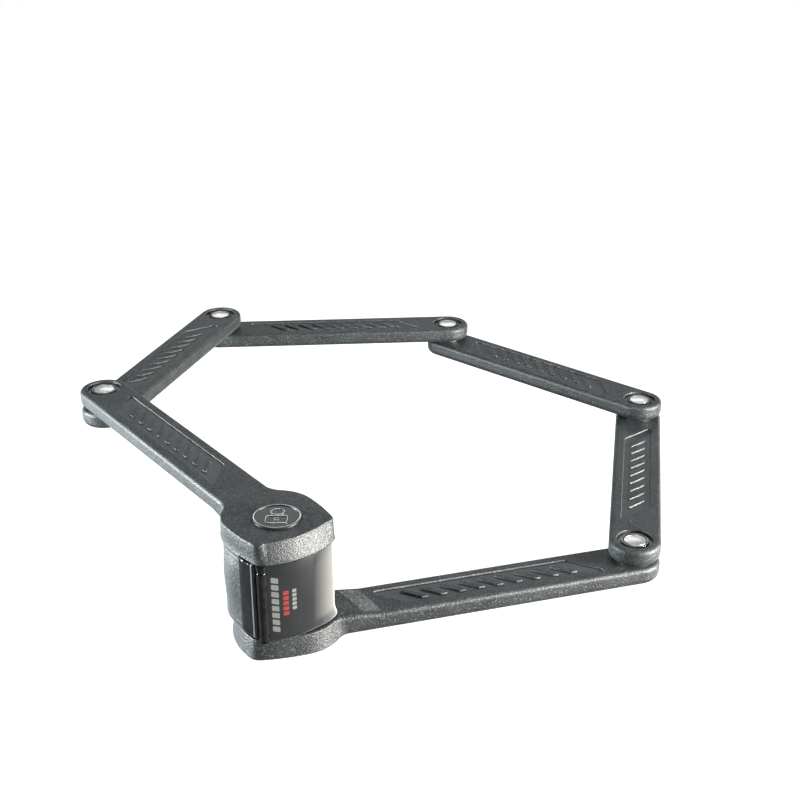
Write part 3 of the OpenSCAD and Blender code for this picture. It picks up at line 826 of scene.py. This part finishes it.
    def upper_holes(self):
        """The holes from the top face to the core's room, as (mouth, depth) loops."""
        top = THICKNESS
        holes = [self.hole(RECESS, top, CORE_CEILING, self.length, FINE_RIM)]
        if self.k == LINK_COUNT:
            holes.append(self.hole(FOOT_HOLE, top + HEAD_STEP, CORE_CEILING))
        elif self.k > 1:
            holes.append(self.hole(RECESS, top, CORE_CEILING, rim=FINE_RIM))
        return holes

    def lower_holes(self):
        """The same from the bottom face."""
        holes = [self.hole(RECESS, 0.0, CORE_FLOOR, self.length)]
        if self.k == 1:
            holes.append(self.hole(SOCKET_HOLE, -HEAD_STEP, CORE_FLOOR))
        elif self.k == LINK_COUNT:
            holes.append(self.hole(FOOT_HOLE, 0.0, CORE_FLOOR))
        else:
            holes.append(self.hole(RECESS, 0.0, CORE_FLOOR))
        return holes

    def badge_seat(self):
        """The blind hole for the badge. Returns its loop on the top face."""
        mouth, floor = self.hole(BADGE + 0.05, THICKNESS, BADGE_SEAT, rim=0.2)
        self.shape.fill(floor)
        return mouth

    def build(self):
        top_loop, bottom_loop = self.side()
        upper = self.upper_holes()
        lower = self.lower_holes()
        top_mouths = [mouth for mouth, _ in upper]
        if self.k == 1:
            top_mouths.append(self.badge_seat())
        top_mouths.append(self.pocket())
        self.face_fill(top_loop, top_mouths, True)
        self.face_fill(bottom_loop, [mouth for mouth, _ in lower], False)
        ceiling, floor = self.shape.walls(self.core_room(), [(0, CORE_CEILING), (0, CORE_FLOOR)])
        self.shape.fill(ceiling, [depth for _, depth in upper])
        self.shape.fill(floor, [depth for _, depth in lower])
        self.shape.build(f"link_{self.k}_skin", f"link_{self.k}", [COVER, POCKET, COARSE_PAINTED_LIGHT],
                         [f"link_{self.k}_cover"], "link_cover")


def slanted(start, end, half, radius):
    """A field whose ends lean, with rounded corners."""
    lean = LEAN * half
    corners = [(start + lean, -half), (end + lean, -half), (end - lean, half), (start - lean, half)]
    return polygon(corners, radius)


# ---------- rivets ----------

def rivet_section(k):
    """(radius, z) of the rivet between links k and k + 1, from its foot to its head."""
    foot = low_z(f"rivet_{k}")
    head = high_z(f"rivet_{k}")
    seat = head - 1.3
    edge = head - 0.45
    groove = edge + 0.02
    crown = head - groove
    dome = [(r, groove + crown * (1 - (r / 4.15) ** 2)) for r in (4.0, 3.6, 3.1, 2.5, 1.9, 1.3, 0.7, 0.3)]
    return ([(0.4, foot), (5.1, foot), (5.5, foot + 0.12), (5.6, foot + 0.4), (5.6, foot + 1.1),
             (4.0, foot + 1.1), (4.0, seat), (4.95, seat), (5.0, seat + 0.1), (5.0, edge - 0.15),
             (4.92, edge - 0.03), (4.75, edge + 0.05), (4.3, edge + 0.12), (4.22, groove),
             (4.15, groove)]
            + dome)


def rivets():
    """A riveted pin and its ring at each joint between two links, on the lower link."""
    for k in range(1, LINK_COUNT):
        body = f"link_{k + 1}"
        place = Place(PIVOTS[k], 0, 0)
        shape = Shape(place)
        first, last = shape.lathe(rivet_section(k))
        shape.fill(first)
        shape.cap(last)
        shape.build(f"rivet_{k}_turned", body, [RIVET_STEEL], [f"rivet_{k}"], "bright_steel", 40)
        base = low_z(f"rivet_ring_{k}")
        top = high_z(f"rivet_ring_{k}")
        ring = Shape(place)
        section = [(5.2, base), (6.3, base), (6.35, base + 0.06), (6.35, top - 0.3), (6.28, top - 0.12),
                   (6.1, top - 0.02), (5.9, top), (5.6, top), (5.4, top - 0.03), (5.24, top - 0.14),
                   (5.15, top - 0.3), (5.15, base + 0.05)]
        first, last = ring.lathe(section)
        ring.bridge(last, first)
        ring.build(f"rivet_ring_{k}_turned", body, [DARK_STEEL], [f"rivet_ring_{k}"], "bright_steel", 40)


# ---------- lock body ----------

def span(outline, keep):
    """The run of an outline whose points pass the test, in order and unbroken."""
    count = len(outline)
    start = next(i for i in range(count) if keep(outline[i]) and not keep(outline[i - 1]))
    out = []
    while keep(outline[start % count]):
        out.append(outline[start % count])
        start += 1
    return out


def shell_section(low, high, belly):
    """Closed section of the shell's wall: swollen outside, with rounded edges."""
    steps = 12
    outer = []
    for i in range(steps + 1):
        t = i / steps
        z = low + 0.8 + (high - low - 1.6) * t
        outer.append((-belly * max(0, math.sin(math.pi * t ** 1.6)) ** 0.7, z))
    return ([(0.5, low), (0.15, low + 0.1), (0, low + 0.35)] + outer
            + [(0, high - 0.35), (0.15, high - 0.1), (0.5, high), (SHELL_WALL, high), (SHELL_WALL, low)])


def body_shell():
    low, high = low_z("side_shell"), high_z("side_shell")
    hinge_side = -12.4        # the shell ends here beside the barrel
    path = span(body_outline(), lambda p: p[0] > (hinge_side if p[1] > 0 else COVER_EDGE))
    shape = Shape(BODY)
    rings = []
    for point in path:
        belly = BELLY * smoothstep(point[0], -3, 4) * (1 - smoothstep(point[0], 9, 15))
        rings.append(shape.ring(point, shell_section(low, high, belly)))
    shape.join(rings)
    shape.ends(rings)
    shape.build("body_shell", "lock_body", [SHELL], ["side_shell"], "body_shell")


def shell_trim():
    """Black rounded strip on the shell, along its edge next to the hinge barrel, with a painted highlight line in
    matte grey on one facet.
    """
    low = low_z("bottom_plate") + 0.3
    high = high_z("top_plate") - 0.3
    centre = (SIDE_ARC[0], HEAD_HALF - SIDE_ARC[1])
    radius = SIDE_ARC[1] - BODY_INSET
    steps = 20
    shape = Shape(BODY)
    rings = []
    for i in range(steps + 1):
        u = -math.cos(math.pi * i / steps)
        angle = math.acos((TRIM_MIDDLE + u * TRIM_HALF - centre[0]) / radius)
        nx, ny = math.cos(angle), math.sin(angle)
        point = (centre[0] + radius * nx, centre[1] + radius * ny, nx, ny)
        proud = 0.15 + TRIM_PROUD * math.sqrt(max(0, 1 - u * u))
        section = [
            (0.9, low), (0.1, low), (-0.5 * proud, low + 0.15), (-0.85 * proud, low + 0.5),
            (-proud, low + 1.1), (-proud, low + 2),
            (-proud, high - 2), (-proud, high - 1.1), (-0.85 * proud, high - 0.5),
            (-0.5 * proud, high - 0.15), (0.1, high), (0.9, high),
        ]
        rings.append(shape.ring(point, section))
    for i, (a, b) in enumerate(zip(rings, rings[1:])):
        # One facet gets the matte grey: a painted highlight line.
        shape.slot = 1 if i == TRIM_PAINTED_HIGHLIGHT else 0
        shape.bridge(a, b)
    shape.slot = 0
    shape.ends(rings)
    shape.build("shell_trim", "lock_body", [GLOSS, GREY_INK_AND_PAINTED_HIGHLIGHT], (), "gloss_black")


def plate_outline():
    """The body's outline, drawn in at the front where the cover's skin lies over it."""
    out = []
    for x, y, nx, ny in body_outline():
        inset = COVER_LAP * (1 - smoothstep(x, COVER_EDGE - 1.0, COVER_EDGE + 0.6))
        out.append((x - nx * inset, y - ny * inset, nx, ny))
    return out


def flat_plate(name, node, section, holes):
    """A plate of the body. Each hole is an outline and its own section, from bottom to top."""
    shape = Shape(BODY)
    bottom, top = shape.walls(plate_outline(), section)
    lows, highs = [], []
    for hole, profile in holes:
        a, b = shape.walls(hole, profile)
        lows.append(a)
        highs.append(b)
    shape.fill(bottom, lows)
    shape.fill(top, highs)
    shape.build(name, "lock_body", [SHELL], [node], "body_shell")


def top_plate():
    low, high = low_z("top_plate"), high_z("top_plate")
    section = [(0.3, low), (0.06, low + 0.08), (0, low + 0.3), (0, high - 0.7), (0.15, high - 0.3),
               (0.5, high - 0.06), (0.9, high), (1.2, high)]
    bolt_hole = [(0, low), (0, high - 0.5), (-0.12, high - 0.15), (-0.5, high)]
    sunk = [(1.3, low), (1.3, high - 1.5), (0, high - 0.1), (0, high)]
    screws = [circle((11, side * 12.2), 2.72, 40) for side in (-1, 1)]
    holes = [(circle((0, 0), 7.75), bolt_hole)] + [(screw, sunk) for screw in screws]
    flat_plate("top_rim", "top_plate", section, holes)


def bottom_plate():
    low, high = low_z("bottom_plate"), high_z("bottom_plate")
    section = [(0.6, low), (0.3, low), (0.1, low + 0.12), (0, low + 0.4), (0, high - 0.3), (0, high - 0.12),
               (0.08, high), (0.3, high)]
    pin_hole = (circle((0, 0), 5.1), [(0, low), (0, high)])
    flat_plate("body_foot", "bottom_plate", section, [pin_hole])


# ---------- keyway cover ----------

def cover_path():
    """The body's front from the hinge barrel to the far corner."""
    front = span(body_outline(), lambda p: p[0] < COVER_EDGE - 0.25)
    return [p for p in front if math.dist(p[:2], HINGE) > BARREL + 0.06]


def keyway_cover():
    """Curved panel whose outer skin laps both plates, with a foot that flares to the right."""
    barrel_low, barrel_high = low_z("cover_hinge_barrel"), high_z("cover_hinge_barrel")
    low, high = low_z("bottom_plate") + 0.25, high_z("top_plate") - 0.25
    shape = Shape(BODY)
    rings = []
    for point in cover_path():
        flare = 0.9 * smoothstep(-point[1], 2, 15)
        section = [
            (0.35 - flare, low), (0.08 - flare, low + 0.12), (-flare, low + 0.4),
            (-0.85 * flare, low + 1.1), (-0.4 * flare, low + 2.2), (-0.08 * flare, low + 3.6),
            (0, low + 5), (0, low + 9), (0, high - 6), (0, high - 0.7), (0.08, high - 0.2), (0.35, high),
            (COVER_SKIN, high), (COVER_SKIN, barrel_high), (COVER_WALL, barrel_high),
            (COVER_WALL, barrel_low), (COVER_SKIN, barrel_low), (COVER_SKIN, low),
        ]
        rings.append(shape.ring(point, section))
    shape.join(rings)
    shape.ends(rings)
    shape.build("keyway_panel", "keyway_cover", [PANEL], ["keyway_cover"], "satin_panel")


def hinge_strip():
    """Polished barrel along the panel's edge, rounded at both ends."""
    low, high = low_z("cover_hinge_barrel"), high_z("cover_hinge_barrel")
    shape = Shape(BODY)
    section = [(1.15, low), (0.6, low), (0.25, low + 0.1), (0.05, low + 0.4), (0, low + 0.9),
               (0, high - 0.9), (0.05, high - 0.4), (0.25, high - 0.1), (0.6, high), (1.15, high)]
    bottom, top = shape.walls(circle(HINGE, BARREL, 48), section)
    inner_low, inner_high = shape.walls(circle(HINGE, 0.86, 48), [(0, low), (0, high)])
    shape.fill(bottom, [inner_low])
    shape.fill(top, [inner_high])
    shape.build("hinge_strip", "keyway_cover", [GLOSS], ["cover_hinge_barrel"], "gloss_black")


def hinge_ear(name, low, high):
    """Black knuckle of a plate, above or below the barrel."""
    shape = Shape(BODY)
    section = [(0.3, low), (0.08, low + 0.08), (0, low + 0.3),
               (0, high - 0.3), (0.08, high - 0.08), (0.3, high)]
    bottom, top = shape.walls(circle(HINGE, BARREL, 48), section)
    shape.fill(bottom)
    shape.fill(top)
    shape.build(name, "lock_body", [GLOSS], (), "gloss_black")


def panel_mark(name, ink, across, z_from, z_to, width, lean, count):
    """A column of plain slanted dashes printed on the panel, at a distance along its curve."""
    bx, br = BASE_ARC
    radius = br - BODY_INSET
    shape = Shape(BODY)
    pitch = (z_to - z_from) / count
    for i in range(count):
        low = z_from + i * pitch + pitch * 0.12
        high = z_from + (i + 1) * pitch - pitch * 0.12
        outline = polygon([(-width / 2, low - lean), (width / 2, low + lean),
                           (width / 2, high + lean), (-width / 2, high - lean)], min(0.35, width / 5), 3)
        loops = []
        for out in (-0.06, 0.03):
            points = []
            for s, z, _, _ in outline:
                a = math.pi - (across + s) / radius
                points.append((bx + (radius + out) * math.cos(a), (radius + out) * math.sin(a), z))
            loops.append(shape.loop(points))
        shape.bridge(*loops, smooth=False)
        shape.cap(loops[0])
        shape.cap(loops[1])
    shape.build(name, "keyway_cover", [ink], (), "satin_panel")


# ---------- badge ----------

def head_badge():
    """Raised disc with a bright line along its rim. Returns the height of its sunk field."""
    low, high = low_z("head_badge"), high_z("head_badge")
    shape = Shape(BODY)
    floor = high - 0.42
    section = [(9.9, low), (10.1, low + 0.15), (10.1, high - 0.5), (10.02, high - 0.2), (9.8, high - 0.04),
               (9.5, high), (9.2, high - 0.05), (9.04, high - 0.2), (8.98, floor + 0.05), (8.8, floor),
               (8.5, floor)]
    bright = ((9.8, high - 0.04), (9.5, high))
    rings = [shape.loop([(x, y, z) for x, y, _, _ in circle((0, 0), radius, 96)]) for radius, z in section]
    for start, a, b in zip(section, rings, rings[1:]):
        shape.slot = 1 if start in bright else 0
        shape.bridge(a, b)
    shape.slot = 0
    shape.fill(rings[0])
    shape.fill(rings[-1])
    shape.build("head_badge_disc", "link_1", [BADGE_SKIN, BRIGHT_LINE], ["head_badge"], "satin_panel")
    return floor


def badge_emblem(floor):
    """A plain padlock in outline: its body, its bow and its keyhole."""
    emblem = Shape(Place(PIVOTS[0], 0, 0))
    line_low, line_high = floor - 0.15, floor + 0.3

    def frame_line(outer, width):
        """A raised line that follows the inside of an outline."""
        section = [(width, line_low), (width, line_high - 0.08), (width - 0.1, line_high), (0.1, line_high),
                   (0, line_high - 0.08), (0, line_low)]
        rings = [emblem.loop([(x - nx * d, y - ny * d, z) for x, y, nx, ny in outer]) for d, z in section]
        for a, b in zip(rings, rings[1:] + rings[:1]):
            emblem.bridge(a, b)

    frame_line(polygon([(-4.6, -5.6), (4.6, -5.6), (4.6, 0.8), (-4.6, 0.8)], 1.1, 6), 0.45)
    frame_line(polygon([(-3.0, 1.4), (3.0, 1.4), (3.0, 6.2), (-3.0, 6.2)], 2.3, 8), 0.45)
    frame_line(circle((0, -2.4), 1.1, 24), 0.35)
    emblem.build("head_badge_emblem", "link_1", [BRIGHT_LINE], (), "satin_panel")


# ---------- the object ----------

finish_cad_nodes()
for number in range(1, LINK_COUNT + 1):
    LinkSkin(number).build()
rivets()
body_shell()
shell_trim()
top_plate()
bottom_plate()
keyway_cover()
hinge_strip()
hinge_ear("hinge_ear_top", high_z("cover_hinge_barrel"), high_z("top_plate"))
hinge_ear("hinge_ear_bottom", low_z("bottom_plate"), low_z("cover_hinge_barrel"))
panel_mark("panel_mark_tall", GREY_INK_AND_PAINTED_HIGHLIGHT, 12.9, 13.5, 39.5, 3.0, 0.5, 8)
panel_mark("panel_mark_red", RED_INK, 8.5, 20.5, 32.5, 2.4, 0.0, 5)
panel_mark("panel_mark_small", GREY_INK_AND_PAINTED_HIGHLIGHT, 4.9, 22.5, 32.5, 1.9, 0.0, 5)
badge_emblem(head_badge())


# ---------- camera, floor and light ----------

WORLD_LIGHT = 0.1             # brightness of the world as light
WORLD_MIRROR = 0.14           # and in reflections


def add_camera():
    data = bpy.data.cameras.new("camera")
    data.lens = 61.38
    data.sensor_width = 36
    obj = bpy.data.objects.new("camera", data)
    obj.location = (0.0509, -0.4816, 0.3274)
    obj.rotation_euler = (math.radians(65.362), math.radians(0.235), 0)
    bpy.context.scene.collection.objects.link(obj)
    bpy.context.scene.camera = obj


def add_floor():
    mesh = bpy.data.meshes.new("floor")
    half = 3.0
    corners = [(-half, -half, 0), (half, -half, 0), (half, half, 0), (-half, half, 0)]
    mesh.from_pydata(corners, [], [(0, 1, 2, 3)])
    mesh.materials.append(floor_paint("floor_paint"))
    obj = bpy.data.objects.new("floor", mesh)
    obj.location.z = -0.0004
    bpy.context.scene.collection.objects.link(obj)


def add_area(name, place, target, size, power, tone=(1, 1, 1)):
    data = bpy.data.lights.new(name, "AREA")
    data.shape = "RECTANGLE"
    data.size, data.size_y = size
    data.energy = power
    data.color = tone
    obj = bpy.data.objects.new(name, data)
    obj.location = place
    obj.rotation_euler = (Vector(target) - Vector(place)).to_track_quat("-Z", "Y").to_euler()
    obj.visible_camera = False
    bpy.context.scene.collection.objects.link(obj)


def add_world():
    """White for the camera, and a dimmer soft grey for light and reflections."""
    world = bpy.data.worlds.new("studio")
    bpy.context.scene.world = world
    world.use_nodes = True
    tree = world.node_tree
    tree.nodes.clear()

    def background(tone, strength):
        node = tree.nodes.new("ShaderNodeBackground")
        node.inputs["Color"].default_value = (*tone, 1)
        node.inputs["Strength"].default_value = strength
        return node.outputs[0]

    def choose(ray, otherwise, chosen):
        node = tree.nodes.new("ShaderNodeMixShader")
        tree.links.new(path.outputs[ray], node.inputs[0])
        tree.links.new(otherwise, node.inputs[1])
        tree.links.new(chosen, node.inputs[2])
        return node.outputs[0]

    path = tree.nodes.new("ShaderNodeLightPath")
    output = tree.nodes.new("ShaderNodeOutputWorld")
    lighting = background((0.85, 0.95, 1.0), WORLD_LIGHT)
    mirrored = background((0.8, 0.93, 1.0), WORLD_MIRROR)
    seen = background((1, 1, 1), 1.0)
    unseen = choose("Is Glossy Ray", lighting, mirrored)
    tree.links.new(choose("Is Camera Ray", unseen, seen), output.inputs[0])


add_camera()
add_floor()
add_world()
add_area("left_bank", (-0.6, 0.03, 0.1), (0.0, 0.06, 0.02), (0.16, 0.12), 15, (0.93, 0.98, 1.0))
add_area("right_bank", (0.78, -0.18, 0.15), (0.03, 0.06, 0.02), (0.25, 0.2), 36, (1.0, 0.97, 0.92))
add_area("back_bank", (0.05, 1.0, 0.6), (0.05, 0.1, 0.0), (0.9, 0.25), 1.9)
add_area("top_soft", (0.05, -0.1, 1.1), (0.05, 0.1, 0), (0.5, 0.5), 3)
bpy.context.scene.view_settings.view_transform = "Standard"
